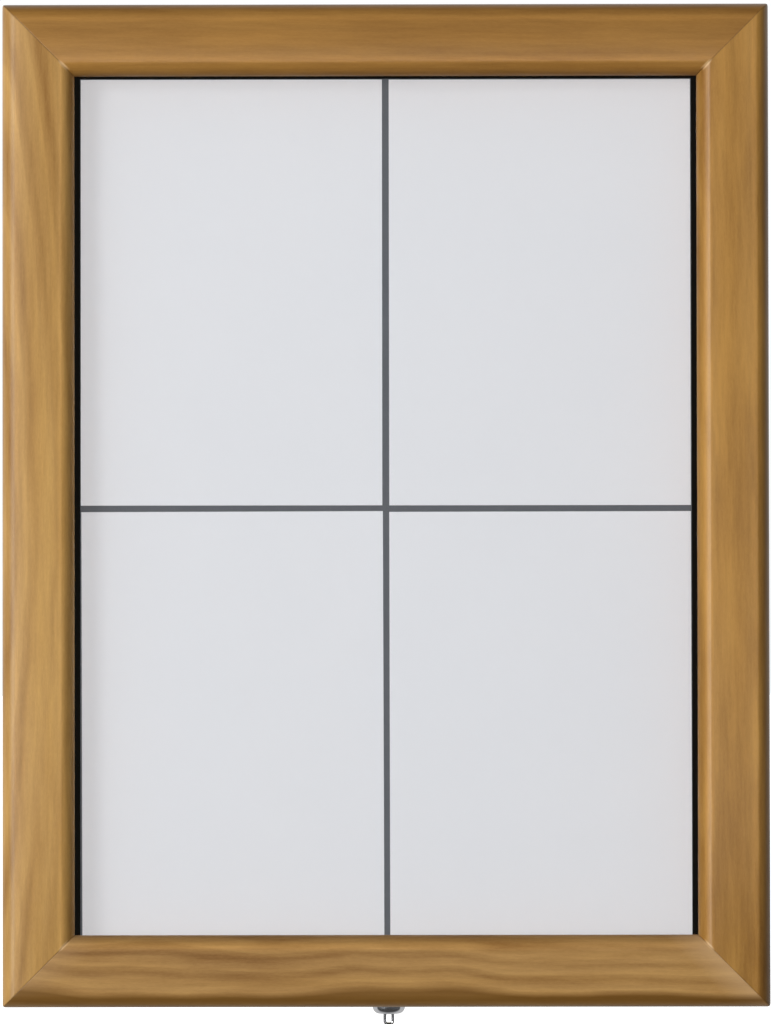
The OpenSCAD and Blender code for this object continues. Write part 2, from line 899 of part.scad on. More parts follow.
case_rail(BOTTOM);  // case_rail_bottom
case_rail(RIGHT);  // case_stile_right
case_rail(TOP);  // case_rail_top
case_rail(LEFT);  // case_stile_left
back_panel();
back_panel_screws();
board_core();
display_board();
board_screws();
board_edging(BOTTOM);  // board_edging_bottom
board_edging(RIGHT);  // board_edging_right
board_edging(TOP);  // board_edging_top
board_edging(LEFT);  // board_edging_left
notice_sheet(0);  // sheet_top_left
notice_sheet(1);  // sheet_top_right
notice_sheet(2);  // sheet_bottom_left
notice_sheet(3);  // sheet_bottom_right
weather_seal(BOTTOM);  // weather_seal_bottom
weather_seal(RIGHT);  // weather_seal_right
weather_seal(TOP);  // weather_seal_top
weather_seal(LEFT);  // weather_seal_left
corner_irons();
corner_iron_screws();
case_hinge_leaf();
hinge_pin();
case_leaf_screws();
lock_housing();
lock_nut();
door_bar(BOTTOM);  // door_rail_bottom
door_bar(RIGHT);  // door_stile_right
door_bar(TOP);  // door_rail_top
door_bar(LEFT);  // door_stile_left
glazing_pane();
glazing_tape(BOTTOM);  // glazing_tape_bottom
glazing_tape(RIGHT);  // glazing_tape_right
glazing_tape(TOP);  // glazing_tape_top
glazing_tape(LEFT);  // glazing_tape_left
glazing_bead(BOTTOM);  // glazing_bead_bottom
glazing_bead(RIGHT);  // glazing_bead_right
glazing_bead(TOP);  // glazing_bead_top
glazing_bead(LEFT);  // glazing_bead_left
bead_pins();
corner_plate(0);  // corner_plate_bottom_left
corner_plate(1);  // corner_plate_bottom_right
corner_plate(2);  // corner_plate_top_right
corner_plate(3);  // corner_plate_top_left
corner_plate_screws();
door_hinge_leaf();
door_leaf_screws();
lock_keeper();
keeper_screws();
lock_plug();
lock_cam();
cam_screw();
key();
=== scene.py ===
import math

import bmesh
import bpy
from mathutils import Matrix, Vector


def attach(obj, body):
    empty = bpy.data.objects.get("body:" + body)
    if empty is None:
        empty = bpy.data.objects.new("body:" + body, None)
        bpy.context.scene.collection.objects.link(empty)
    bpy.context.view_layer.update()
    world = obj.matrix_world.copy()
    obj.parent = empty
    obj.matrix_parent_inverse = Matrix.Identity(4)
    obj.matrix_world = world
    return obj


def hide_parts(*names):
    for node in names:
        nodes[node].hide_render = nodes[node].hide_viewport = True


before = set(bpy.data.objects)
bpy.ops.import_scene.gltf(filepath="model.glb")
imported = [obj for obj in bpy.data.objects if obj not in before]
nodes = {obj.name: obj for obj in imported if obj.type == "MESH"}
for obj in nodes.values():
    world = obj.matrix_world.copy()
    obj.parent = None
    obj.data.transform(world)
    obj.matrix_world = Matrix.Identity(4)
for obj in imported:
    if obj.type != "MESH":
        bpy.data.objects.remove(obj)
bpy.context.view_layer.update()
bpy.ops.object.select_all(action="DESELECT")


# Case rails
# Four softwood rails, mitred and glued into a shallow box behind the door. Each is rebated at
# the back for the plywood panel, and its arrises are eased. Stained and lacquered like the door.
MM = 0.001
BOTTOM, RIGHT, TOP, LEFT = range(4)
SIDE_NAMES = ("rail_bottom", "stile_right", "rail_top", "stile_left")
CASE_W, CASE_TOP, CASE_BOTTOM = 525 * MM, 340 * MM, -344 * MM
CASE_H = CASE_TOP - CASE_BOTTOM
CASE_Z = (CASE_TOP + CASE_BOTTOM) / 2
CASE_D = 30 * MM
RAIL_T = 16 * MM
LEDGE_W = 8 * MM
BACK_T = 4 * MM
OVERRUN = 1 * MM


def paint(red, green, blue):
    """A colour as it looks on a screen, 0 to 255, as the linear colour that a shader takes."""
    def linear(v):
        v /= 255
        return v / 12.92 if v <= 0.04045 else ((v + 0.055) / 1.055) ** 2.4
    return (linear(red), linear(green), linear(blue), 1)


def add(tree, kind, inputs, **settings):
    """Puts a node in a material and links or sets its inputs."""
    made = tree.nodes.new("ShaderNode" + kind)
    for name, value in settings.items():
        setattr(made, name, value)
    for key, value in inputs.items():
        if isinstance(value, bpy.types.NodeSocket):
            tree.links.new(value, made.inputs[key])
        else:
            made.inputs[key].default_value = value
    return made


def blend_colours(tree, share, first, second, how="MIX"):
    """The first colour at share 0, and at share 1 the second, or the two multiplied."""
    made = add(tree, "Mix", {0: share, 6: first, 7: second}, data_type="RGBA", blend_type=how)
    return made.outputs[2]


def between(tree, value, low, high, to_low=0.0, to_high=1.0):
    """The value taken from the range low to high to another range, and held inside it."""
    made = add(tree, "MapRange", {0: value, 1: low, 2: high, 3: to_low, 4: to_high})
    return made.outputs[0]


def calculate(tree, how, first, second=0.0):
    """One sum in a material."""
    return add(tree, "Math", {0: first, 1: second}, operation=how).outputs[0]


def noise(tree, place, scale, detail, roughness=0.5):
    """Uneven patches in a material, finer as scale grows, as a value round 0.5."""
    made = add(tree, "TexNoise", {
        "Vector": place, "Scale": scale, "Detail": detail, "Roughness": roughness,
    })
    return made.outputs["Fac"]


def new_finish(name, **surface):
    """A material with one surface shader, whose plain values are set on its own sockets."""
    finish = bpy.data.materials.new(name)
    finish.use_nodes = True
    tree = finish.node_tree
    tree.nodes.clear()
    skin = tree.nodes.new("ShaderNodeBsdfPrincipled")
    out = tree.nodes.new("ShaderNodeOutputMaterial")
    tree.links.new(skin.outputs[0], out.inputs[0])
    for name, value in surface.items():
        skin.inputs[name.replace("_", " ").title().replace("Ior", "IOR")].default_value = value
    return finish, tree, skin


def link_surface(tree, skin, colour, gloss, height=None, strength=0.0, depth=0.0):
    """Gives a surface its linked colour and roughness, and a fine relief where it has one."""
    tree.links.new(colour, skin.inputs["Base Color"])
    tree.links.new(gloss, skin.inputs["Roughness"])
    if height is not None:
        relief = add(tree, "Bump", {"Strength": strength, "Distance": depth, "Height": height})
        tree.links.new(relief.outputs[0], skin.inputs["Normal"])


def stained_pine(name, side, size, middle_z, pale, deep, pith, ring, contrast,
                 drift=(0, 0), bow=0.0, sway=0.004, clouds=0.2, face=None, highlight_inset=7.4 * MM,
                 edge_shade=(0.5, 0.3), foot=0.0, ends=0.0):
    """Stained softwood under satin lacquer, with its grain along one side of a mitred frame.

    size and middle_z place the frame. pale and deep are the colours of early and late wood, pith
    is the middle of the tree, ring a growth ring's width and contrast its strength. drift is the
    grain's slope in degrees in the face and into it, bow its curve, sway how far it wanders, and
    clouds how unevenly the staining took. face is a moulding's width; with it come painted
    highlights along the ridges, rubbed being how far from the inner edge the inner one lies, and
    painted glints where they meet the mitres. stain is how much painted shade darkens the outer
    and the inner edge, and foot how far above the bottom edge a darker band reaches, partly
    painted shade and partly darker wood. ends is how strong a painted highlight is beside the
    mitres, stronger towards the right.
    """
    finish, tree, skin = new_finish(
        name, coat_weight=0.5, coat_roughness=0.3, coat_ior=1.5, specular_ior_level=0.08
    )
    place = add(tree, "TexCoord", {}).outputs["Object"]
    stretch = 14
    grain = add(tree, "Mapping", {
        "Vector": place,
        "Location": pith,
        "Rotation": (0, math.radians((90 if side % 2 else 0) + drift[0]), math.radians(drift[1])),
        "Scale": (stretch, 1, 1),
    }, vector_type="TEXTURE").outputs[0]
    short = add(tree, "VectorMath", {0: grain, 1: (2.6, 1, 1)}, operation="MULTIPLY").outputs[0]
    wander = noise(tree, place, 8, 1.5)
    axes = add(tree, "SeparateXYZ", {0: grain})
    curve = calculate(tree, "POWER", calculate(tree, "ABSOLUTE", axes.outputs[0]), 2)
    across = calculate(tree, "ADD", axes.outputs[2],
                       calculate(tree, "MULTIPLY", curve, bow * stretch ** 2))
    across = calculate(tree, "ADD", across, between(tree, wander, 0.25, 0.75, -sway, sway))
    bent = add(tree, "CombineXYZ", {0: axes.outputs[0], 1: axes.outputs[1], 2: across}).outputs[0]
    rings = add(tree, "TexWave", {
        "Vector": bent, "Scale": 0.31416 / ring, "Distortion": 3.0, "Detail": 3.0,
        "Detail Scale": 1.2, "Detail Roughness": 0.6,
    }, wave_type="RINGS", rings_direction="X", wave_profile="SAW").outputs["Fac"]
    late = add(tree, "ValToRGB", {0: rings}).outputs[0]
    ramp = late.node.color_ramp
    ramp.interpolation = "EASE"
    ramp.elements[0].position, ramp.elements[0].color = 0.0, (0.1, 0.1, 0.1, 1)
    ramp.elements[1].position, ramp.elements[1].color = 0.6, (1, 1, 1, 1)
    ramp.elements.new(0.3).color = (0.4, 0.4, 0.4, 1)
    ramp.elements.new(0.88).color = (0.55, 0.55, 0.55, 1)
    ramp.elements.new(1.0).color = (0.1, 0.1, 0.1, 1)
    fade = noise(tree, grain, 22, 2)
    late = calculate(tree, "MULTIPLY", late, between(tree, fade, 0.35, 0.65, 0.3, 1.0))
    streak = noise(tree, grain, 380, 4, 0.6)
    fibre = noise(tree, short, 1500, 2, 0.6)
    cloud = noise(tree, short, 46, 4, 0.55)
    tone = noise(tree, short, 19, 1)
    warm = noise(tree, grain, 90, 1)

    share = calculate(tree, "MULTIPLY", late, contrast)
    share = calculate(tree, "ADD", share, between(tree, streak, 0.3, 0.7, -0.13, 0.17))
    share = calculate(tree, "ADD", share, between(tree, cloud, 0.3, 0.7, -clouds, clouds))
    share = calculate(tree, "ADD", share, between(tree, tone, 0.3, 0.7, -clouds, clouds))
    share = calculate(tree, "ADD", share, between(tree, fibre, 0.3, 0.7, -0.07, 0.09))
    share = between(tree, share, -0.3, 1.3, -0.3, 1.3)
    colour = add(tree, "Mix", {0: share, 6: pale, 7: deep}, data_type="RGBA",
                 clamp_factor=False).outputs[2]
    redder = blend_colours(tree, 1.0, colour, (1.0, 0.985, 0.93, 1), "MULTIPLY")
    colour = blend_colours(tree, between(tree, warm, 0.42, 0.62), colour, redder)

    axes = add(tree, "SeparateXYZ", {0: place})
    off_centre = calculate(tree, "ABSOLUTE", axes.outputs[0])
    from_side = calculate(tree, "SUBTRACT", size[0] / 2, off_centre)
    off_middle = calculate(tree, "SUBTRACT", axes.outputs[2], middle_z)
    from_end = calculate(tree, "SUBTRACT", size[1] / 2, calculate(tree, "ABSOLUTE", off_middle))
    apart = calculate(tree, "ABSOLUTE", calculate(tree, "SUBTRACT", from_side, from_end))
    joint = between(tree, apart, 0.15 * MM, 0.8 * MM, 0.3, 0.0)
    colour = blend_colours(tree, joint, colour, paint(74, 48, 20))
    if face:
        inward = calculate(tree, "MINIMUM", from_side, from_end)
        outer_line = 10.5 * MM
        outer = calculate(tree, "ABSOLUTE", calculate(tree, "SUBTRACT", inward, outer_line))
        inner = calculate(tree, "ABSOLUTE", calculate(tree, "SUBTRACT", inward, face - highlight_inset))
        # A painted highlight: the wood is made paler in a band near the outer ridge and another
        # near the inner ridge.
        painted_highlight = calculate(tree, "MAXIMUM", between(tree, outer, 0.6 * MM, 3 * MM, 0.65, 0.0),
                         between(tree, inner, 0.8 * MM, 3.6 * MM, 1.0, 0.0))
        painted_highlight = calculate(tree, "MULTIPLY", painted_highlight, between(tree, tone, 0.35, 0.6, 0.6, 1.0))
        highlight_colour = blend_colours(tree, 1.0, colour, (1.24, 1.24, 1.24, 1), "MULTIPLY")
        colour = blend_colours(tree, painted_highlight, colour, highlight_colour)
        # Painted shade: the wood is darkened towards the outer and the inner edge rounds.
        painted_edge_shade = calculate(tree, "MAXIMUM",
                           between(tree, inward, face - 5 * MM, face - 0.5 * MM, 0.0, edge_shade[1]),
                           between(tree, inward, 0.8 * MM, 6.5 * MM, edge_shade[0], 0.0))
        colour = blend_colours(tree, painted_edge_shade, colour, paint(72, 44, 8))
        lacquer = between(tree, inward, face - 8 * MM, face - 3 * MM, 0.5, 0.04)
        tree.links.new(lacquer, skin.inputs["Coat Weight"])
        # Painted glints: pale marks on the wood where the inner ridge meets the mitres.
        shoulder_line = face - 7 * MM
        shoulder = calculate(tree, "ABSOLUTE", calculate(tree, "SUBTRACT", inward, shoulder_line))
        painted_glint = calculate(tree, "MULTIPLY", between(tree, shoulder, 1 * MM, 3.5 * MM, 0.8, 0.0),
                          between(tree, apart, 0.8 * MM, 2.2 * MM, 1.0, 0.0))
        colour = blend_colours(tree, painted_glint, colour, paint(226, 190, 140))
    if ends:
        # A painted highlight: the wood is made paler beside the mitres, more towards the right end.
        painted_end_highlight = calculate(tree, "MULTIPLY", between(tree, apart, 3 * MM, 24 * MM, ends, 0.0),
                          between(tree, axes.outputs[0], -0.1, 0.1, 0.35, 1.0))
        colour = blend_colours(tree, painted_end_highlight, colour, paint(212, 174, 128))
    if foot:
        # A darker band above the bottom edge, partly painted shade on the downward-facing round and
        # partly darker wood, eased off over the last few millimetres.
        edge = calculate(tree, "ADD", from_end,
                         between(tree, wander, 0.3, 0.7, -0.45 * foot, 0.45 * foot))
        foot_shade_and_dark_wood = between(tree, edge, 0.9 * foot, 1.4 * foot, 0.8, 0.0)
        foot_shade_and_dark_wood = calculate(tree, "MULTIPLY", foot_shade_and_dark_wood,
                             between(tree, from_end, 1 * MM, 5 * MM, 0.5, 1.0))
        colour = blend_colours(tree, foot_shade_and_dark_wood, colour, paint(106, 68, 10))
    gloss = between(tree, streak, 0.3, 0.7, 0.48, 0.56)
    height = calculate(tree, "ADD", calculate(tree, "MULTIPLY", fibre, 0.5), streak)
    link_surface(tree, skin, colour, gloss, height, 0.06, 0.15 * MM)
    return finish


def choose(kind, test):
    """Selects the corners, edges or faces of the mesh in edit mode whose middle passes test."""
    bpy.ops.mesh.select_mode(type=kind)
    bpy.ops.mesh.select_all(action="DESELECT")
    mesh = bmesh.from_edit_mesh(bpy.context.edit_object.data)
    parts, middle = {
        "VERT": (mesh.verts, lambda vert: vert.co),
        "EDGE": (mesh.edges, lambda edge: (edge.verts[0].co + edge.verts[1].co) / 2),
        "FACE": (mesh.faces, lambda face: face.calc_center_median()),
    }[kind]
    for part in parts:
        part.select = bool(test(part, middle(part)))
    mesh.select_flush_mode()
    bmesh.update_edit_mesh(bpy.context.edit_object.data)


def at(value, goal, slack=0.01 * MM):
    """Whether a measure is at its goal, for the tests that choose takes."""
    return abs(value - goal) < slack


def cut(point, normal, drop=True):
    """Cuts the mesh in edit mode with a plane, and closes what it drops on the normal's side."""
    bpy.ops.mesh.select_all(action="SELECT")
    bpy.ops.mesh.bisect(plane_co=point, plane_no=normal, clear_outer=drop, use_fill=drop)


def ease_corner(u, depth, size, steps):
    """Rounds one corner of the flat section in edit mode."""
    choose("VERT", lambda part, c: at(c.z, u) and at(-c.y, depth))
    bpy.ops.mesh.bevel(offset=size, offset_type="OFFSET", segments=steps, affect="VERTICES")


def start_section(width, from_depth, to_depth, start_x):
    """A flat section to draw in edit mode: outer edge on Z = 0, depth towards the viewer."""
    bpy.ops.mesh.primitive_plane_add(size=1)
    piece = bpy.context.object
    piece.scale = (width, to_depth - from_depth, 1)
    piece.rotation_euler = (0, math.pi / 2, 0)
    piece.location = (start_x, -(from_depth + to_depth) / 2, width / 2)
    bpy.ops.object.transform_apply(location=True, rotation=True, scale=True)
    bpy.ops.object.mode_set(mode="EDIT")
    return piece


def finish_bar(piece, length, corner, side, w, h, z, arris=0.0):
    """Draws the section out into a bar, mitres its ends and puts it on its side of the frame.

    A cut just inside each end keeps its soft arris from bending the light along the whole bar.
    """
    bpy.ops.mesh.select_all(action="SELECT")
    bpy.ops.mesh.dissolve_faces()
    bpy.ops.mesh.extrude_region_move(TRANSFORM_OT_translate={"value": (length + 2 * OVERRUN, 0, 0)})
    bpy.ops.mesh.select_all(action="SELECT")
    bpy.ops.mesh.normals_make_consistent(inside=False)
    for end in (-1, 1):
        if corner:
            for degrees in (10, 20, 30, 40):
                angle = math.radians(degrees)
                out = Vector((end * math.sin(angle), 0, -math.cos(angle)))
                cut(Vector((end * (length / 2 - corner), 0, corner)) + out * corner, out)
        cut((end * length / 2, 0, 0), (end, 0, 1))
    bpy.ops.mesh.select_all(action="SELECT")
    bpy.ops.mesh.remove_doubles(threshold=0.002 * MM)
    if arris:
        for end in (-1, 1):
            cut((end * (length / 2 - 1.2 * MM), 0, 0), (end, 0, 1), False)
            cut((end * (length / 2 - corner - 2 * MM), 0, 0), (end, 0, 0), False)
        slope = math.sqrt(0.5)
        choose("FACE", lambda face, c: abs(face.normal.x) > slope - 0.01 and face.normal.z > 0.7)
        bpy.ops.mesh.region_to_loop()
        bpy.ops.mesh.bevel(offset=arris, offset_type="OFFSET", segments=2, affect="EDGES",
                           clamp_overlap=True)
    bpy.ops.mesh.select_all(action="SELECT")
    bpy.ops.mesh.normals_make_consistent(inside=False)
    bpy.ops.object.mode_set(mode="OBJECT")
    piece.rotation_euler = (0, math.radians((0, -90, 180, 90)[side]), 0)
    piece.location = ((0, 0, z - h / 2), (w / 2, 0, z), (0, 0, z + h / 2), (-w / 2, 0, z))[side]
    bpy.ops.object.transform_apply(location=True, rotation=True, scale=True)
    bpy.ops.object.shade_smooth_by_angle(angle=math.radians(32))


def dress(piece, finish, body, slot, *stood_for):
    """Gives a finished piece its material, its body and the CAD nodes it stands for. slot is not
    used.
    """
    piece.data.materials.clear()
    piece.data.materials.append(finish)
    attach(piece, body)
    if stood_for:
        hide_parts(*stood_for)
    bpy.ops.object.select_all(action="DESELECT")


case_timber = [
    stained_pine(
        "case_timber_" + SIDE_NAMES[side], side, (CASE_W, CASE_H), CASE_Z,
        pale=paint(176, 134, 76), deep=paint(130, 88, 40), pith=pith, ring=ring * MM, contrast=0.6,
        drift=drift
    )
    for side, pith, drift, ring in (
        (BOTTOM, (0.3, 0.05, -0.40), (0.8, 0.5), 5),
        (RIGHT, (0.24, 0.04, 0.1), (-0.6, 0.4), 6),
        (TOP, (-0.3, 0.06, 0.39), (0.5, -0.6), 4.5),
        (LEFT, (-0.31, 0.05, -0.2), (1.1, 0.3), 6.5),
    )
]
for side in (BOTTOM, RIGHT, TOP, LEFT):
    length = CASE_H if side % 2 else CASE_W
    rail = start_section(RAIL_T, 0, CASE_D, -length / 2 - OVERRUN)
    ease_corner(0, CASE_D, 1.5 * MM, 6)
    cut((0, 0, RAIL_T - LEDGE_W), (0, 0, 1), False)
    cut((0, -BACK_T, 0), (0, 1, 0), False)
    choose("FACE", lambda face, c: c.z > RAIL_T - LEDGE_W and -c.y < BACK_T)
    bpy.ops.mesh.delete(type="FACE")
    ease_corner(0, 0, 0.6 * MM, 3)
    ease_corner(RAIL_T, CASE_D, 0.5 * MM, 3)
    finish_bar(rail, length, 0, side, CASE_W, CASE_H, CASE_Z, 0.15 * MM)
    rail.name = "timber_case_" + SIDE_NAMES[side]
    dress(rail, case_timber[side], "case", "case_timber", "case_" + SIDE_NAMES[side])


# Back panel
# A sheet of birch plywood that closes the back, let into the rails' rebate and screwed to them
# with sixteen zinc-plated screws. Its four large holes take the wall fixings.
def refinish(finish, *names):
    """Gives CAD nodes that keep their shape a better material."""
    for name in names:
        for material_slot in nodes[name].material_slots:
            material_slot.material = finish


plywood, tree, skin = new_finish("birch_plywood", specular_ior_level=0.3)
place = add(tree, "TexCoord", {})
veneer = add(tree, "Mapping", {"Vector": place.outputs["Object"], "Scale": (1, 1, 0.14)}).outputs[0]
figure = add(tree, "TexWave", {
    "Vector": veneer, "Scale": 5, "Distortion": 9, "Detail": 2.5, "Detail Scale": 0.8,
}, wave_type="BANDS", bands_direction="X").outputs["Fac"]
fleck = noise(tree, veneer, 900, 3)
cloud = noise(tree, veneer, 12, 3)
face = blend_colours(tree, figure, paint(206, 178, 134), paint(190, 156, 110))
face = blend_colours(tree, between(tree, cloud, 0.35, 0.7, 0, 0.5), face, paint(214, 190, 152))
face = blend_colours(tree, between(tree, fleck, 0.62, 0.72, 0, 0.45), face, paint(142, 104, 66))
depth = add(tree, "SeparateXYZ", {0: place.outputs["Object"]}).outputs[1]
ply = calculate(tree, "FRACT", calculate(tree, "MULTIPLY", depth, 1 / (2.6 * MM)))
edge = blend_colours(tree, between(tree, ply, 0.45, 0.55), paint(196, 164, 118), paint(120, 84, 50))
facing = add(tree, "SeparateXYZ", {0: place.outputs["Normal"]}).outputs[1]
on_edge = between(tree, calculate(tree, "ABSOLUTE", facing), 0.8, 0.2)
colour = blend_colours(tree, on_edge, face, edge)
gloss = between(tree, fleck, 0.3, 0.7, 0.62, 0.5)
link_surface(tree, skin, colour, gloss, fleck, 0.2, 0.2 * MM)
refinish(plywood, "back_panel")


def plated(name, bright, dull, low_gloss, high_gloss, **surface):
    """Plated or bare metal: faint clouds of a second tone, fine scuffs and uneven gloss."""
    finish, tree, skin = new_finish(name, metallic=1.0, **surface)
    place = add(tree, "TexCoord", {}).outputs["Object"]
    cloud = noise(tree, place, 160, 3)
    scuff = noise(tree, place, 2400, 4)
    colour = blend_colours(tree, between(tree, cloud, 0.35, 0.7), bright, dull)
    gloss = between(tree, scuff, 0.3, 0.75, low_gloss, high_gloss)
    link_surface(tree, skin, colour, gloss, scuff, 0.08, 0.05 * MM)
    return finish


zinc = plated("zinc_plate", paint(196, 198, 202), paint(176, 176, 168), 0.26, 0.42)
refinish(zinc, "back_panel_screws")


# Board
# A brown fibreboard core under a steel face with dark grey powder coat, which takes magnets. Six
# short screws through the back panel hold it.
fibreboard, tree, skin = new_finish("fibreboard", specular_ior_level=0.25)
place = add(tree, "TexCoord", {}).outputs["Object"]
fibre = noise(tree, place, 1500, 5)
cloud = noise(tree, place, 40, 2)
colour = blend_colours(tree, fibre, paint(150, 118, 84), paint(112, 84, 58))
colour = blend_colours(tree, between(tree, cloud, 0.3, 0.7, 0, 0.3), colour, paint(166, 136, 102))
link_surface(tree, skin, colour, between(tree, fibre, 0.3, 0.7, 0.75, 0.9))
refinish(fibreboard, "board_core")

powder_coat, tree, skin = new_finish("grey_powder_coat", specular_ior_level=0.2)
place = add(tree, "TexCoord", {}).outputs["Object"]
grain = noise(tree, place, 1100, 3)
cloud = noise(tree, place, 14, 2)
colour = blend_colours(tree, cloud, paint(95, 98, 103), paint(101, 103, 108))
gloss = between(tree, grain, 0.3, 0.7, 0.42, 0.58)
link_surface(tree, skin, colour, gloss, grain, 0.25, 0.08 * MM)
refinish(powder_coat, "display_board")
refinish(zinc, "board_screws")


# Board edging
# Four flat strips of black plastic, mitred, on the board's face round the sheets. They make the
# thin black margin that shows inside the window.
BOARD_W, BOARD_H, BOARD_Z = 449.9 * MM, 623.5 * MM, -1.95 * MM
BOARD_FRONT = 10 * MM
EDGING_W, EDGING_FRONT, EDGING_ROUND = 12 * MM, BOARD_FRONT + 1.6 * MM, 0.5 * MM
PLACES = ("bottom", "right", "top", "left")

black_plastic, tree, skin = new_finish("black_plastic", specular_ior_level=0.0)
place = add(tree, "TexCoord", {}).outputs["Object"]
grain = noise(tree, place, 1400, 3)
smear = noise(tree, place, 35, 3)
colour = blend_colours(tree, smear, paint(9, 8, 5), paint(17, 14, 9))
gloss = between(tree, smear, 0.3, 0.7, 0.5, 0.6)
link_surface(tree, skin, colour, gloss, grain, 0.15, 0.05 * MM)


def lay_strips(name, finish, body, slot, stood_for, size, middle_z, width, back, front, eased):
    """Four mitred lengths of strip round a frame of the given size.

    name begins each piece's name, and stood_for that of its CAD node. eased lists the corners of
    the strip's section to round, as ease_corner takes them.
    """
    for side in (BOTTOM, RIGHT, TOP, LEFT):
        length = size[1] if side % 2 else size[0]
        strip = start_section(width, back, front, -length / 2 - OVERRUN)
        for corner in eased:
            ease_corner(*corner)
        finish_bar(strip, length, 0, side, size[0], size[1], middle_z)
        strip.name = name + PLACES[side]
        dress(strip, finish, body, slot, stood_for + PLACES[side])


lay_strips(
    "black_edging_", black_plastic, "case", "black_edging", "board_edging_",
    (BOARD_W, BOARD_H), BOARD_Z, EDGING_W, BOARD_FRONT, EDGING_FRONT,
    [(0, EDGING_FRONT, EDGING_ROUND, 4), (EDGING_W, EDGING_FRONT, EDGING_ROUND, 4)]
)


# Notice sheets
# Four blank sheets of white card in two columns and two rows. They lie flat on the board, a hair
# out of square with each other, and wave very slightly, as card does.
SHEET_W, SHEET_H, SHEET_T = 210 * MM, 297 * MM, 0.25 * MM
SHEET_GAP_X, SHEET_GAP_Z = 4.7 * MM, 4.3 * MM

card, tree, skin = new_finish("white_card", specular_ior_level=0.3)
place = add(tree, "TexCoord", {}).outputs["Object"]
fibre = noise(tree, place, 2600, 4)
cloud = noise(tree, place, 9, 2)
colour = blend_colours(tree, cloud, paint(244, 246, 251), paint(247, 248, 252))
colour = blend_colours(tree, between(tree, fibre, 0.35, 0.7, 0, 0.1), colour, paint(222, 225, 230))
gloss = between(tree, fibre, 0.3, 0.7, 0.5, 0.62)
link_surface(tree, skin, colour, gloss, fibre, 0.1, 0.05 * MM)

waves = bpy.data.textures.new("card_waves", "CLOUDS")
waves.noise_scale = 0.16
waves.noise_depth = 0
for name, column, row, across, up, tilt in (
    ("top_left", -1, 1, -0.1, 0.1, 0.02),
    ("top_right", 1, 1, 0, 0, 0),
    ("bottom_left", -1, -1, 0.5, 0.1, -0.12),
    ("bottom_right", 1, -1, 0.1, -0.1, -0.06),
):
    bpy.ops.mesh.primitive_grid_add(x_subdivisions=20, y_subdivisions=28, size=1)
    sheet = bpy.context.object
    sheet.name = "card_" + name
    sheet.scale = (SHEET_W, SHEET_H, 1)
    bpy.ops.object.transform_apply(location=False, rotation=False, scale=True)
    sheet.rotation_euler = (math.pi / 2, math.radians(tilt), 0)
    sheet.location = (
        column * (SHEET_W + SHEET_GAP_X) / 2 + across * MM,
        -BOARD_FRONT,
        BOARD_Z + row * (SHEET_H + SHEET_GAP_Z) / 2 + up * MM,
    )
    bpy.ops.object.transform_apply(location=True, rotation=True, scale=True)
    wave = sheet.modifiers.new("wave", "DISPLACE")
    wave.texture, wave.texture_coords = waves, "GLOBAL"
    wave.direction, wave.strength, wave.mid_level = "Y", -0.5 * MM, 0
    body = sheet.modifiers.new("thickness", "SOLIDIFY")
    body.thickness, body.offset = SHEET_T, 1
    for modifier in ("wave", "thickness"):
        bpy.ops.object.modifier_apply(modifier=modifier)
    bpy.ops.object.shade_smooth_by_angle(angle=math.radians(30))
    dress(sheet, card, "case", "paper", "sheet_" + name)


# Weather seal
# Soft black rubber strip, stuck to the case's front edge in four mitred lengths. The closed door
# presses its rounded face.
SEAL_W, SEAL_FRONT, SEAL_ROUND, SEAL_IN = 6 * MM, CASE_D + 1.4 * MM, 1.2 * MM, 9.5 * MM

seal_rubber, tree, skin = new_finish("seal_rubber", specular_ior_level=0.25)
place = add(tree, "TexCoord", {}).outputs["Object"]
pores = add(tree, "TexVoronoi", {"Vector": place, "Scale": 1800}).outputs["Distance"]
dust = noise(tree, place, 60, 4)
dusty = between(tree, dust, 0.45, 0.8, 0, 0.4)
colour = blend_colours(tree, dusty, paint(22, 22, 23), paint(48, 47, 45))
gloss = between(tree, pores, 0, 0.6, 0.72, 0.9)
link_surface(tree, skin, colour, gloss, pores, 0.3, 0.1 * MM)

lay_strips(
    "rubber_seal_", seal_rubber, "case", "seal_rubber", "weather_seal_",
    (CASE_W - 2 * SEAL_IN, CASE_H - 2 * SEAL_IN), CASE_Z, SEAL_W, CASE_D, SEAL_FRONT,
    [(0, SEAL_FRONT, SEAL_ROUND, 6), (SEAL_W, SEAL_FRONT, SEAL_ROUND, 6)]
)


# Corner irons and hinge
# Zinc-plated angle irons hold the case's corners from inside. A brass piano hinge runs along the
# top: one leaf is screwed down on the case, the other behind the door, on a steel pin.
refinish(zinc, "corner_irons", "corner_iron_screws", "hinge_pin")
brass = plated("brass", paint(208, 176, 106), paint(186, 148, 78), 0.24, 0.4)
refinish(brass, "case_hinge_leaf", "door_hinge_leaf", "case_leaf_screws", "door_leaf_screws")


# Lock
# A cam lock through the middle of the bottom rail: a domed chrome head below, a threaded barrel
# with a zinc nut inside, and a brass plug that turns the cam behind the door's keeper.
LOCK_X, LOCK_Y = 1.5 * MM, -16 * MM

chrome = plated("chrome", paint(222, 223, 226), paint(206, 208, 213), 0.05, 0.13)
refinish(zinc, "lock_nut", "lock_cam", "cam_screw")
refinish(brass, "lock_plug")


